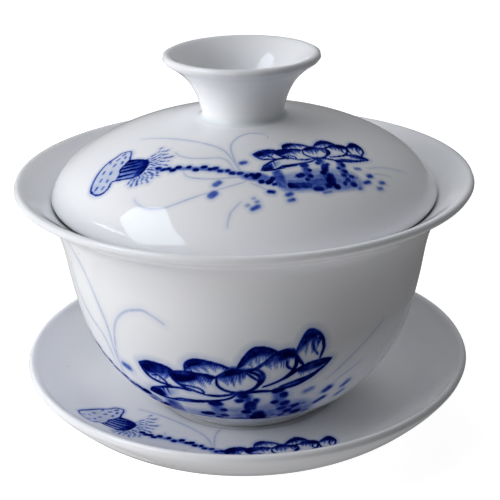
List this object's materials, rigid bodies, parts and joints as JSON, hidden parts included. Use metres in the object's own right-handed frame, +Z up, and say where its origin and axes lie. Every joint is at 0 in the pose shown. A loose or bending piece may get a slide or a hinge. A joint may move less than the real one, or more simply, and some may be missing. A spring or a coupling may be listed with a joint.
{
  "type": "gaiwan",
  "caption": "Lidded porcelain tea bowl on a saucer: a flared bowl on a foot ring, a domed lid with a hollow trumpet knob that drops inside the lip, and a shallow dish with a well.",
  "frame": {"origin": "on the table, under the middle of the saucer's foot ring", "axes": "+Z up the common axis of saucer, bowl and lid; -Y towards the painted front; +X to the right as the painted front is faced"},
  "size_m": [0.099, 0.099, 0.0835],
  "materials": {
    "glazed_porcelain": "glossy clear glaze over white porcelain, with cobalt-blue underglaze painting"
  },
  "bodies": {
    "saucer": {"saucer": "glazed_porcelain"},
    "bowl": {"bowl": "glazed_porcelain"},
    "lid": {"lid": "glazed_porcelain"}
  },
  "joints": [
    {"name": "bowl_lift", "type": "slide", "parent": "saucer", "child": "bowl", "axis": [0, 0, 1], "range_m": [0, 0.06]},
    {"name": "lid_lift", "type": "slide", "parent": "bowl", "child": "lid", "axis": [0, 0, 1], "range_m": [0, 0.06]}
  ]
}
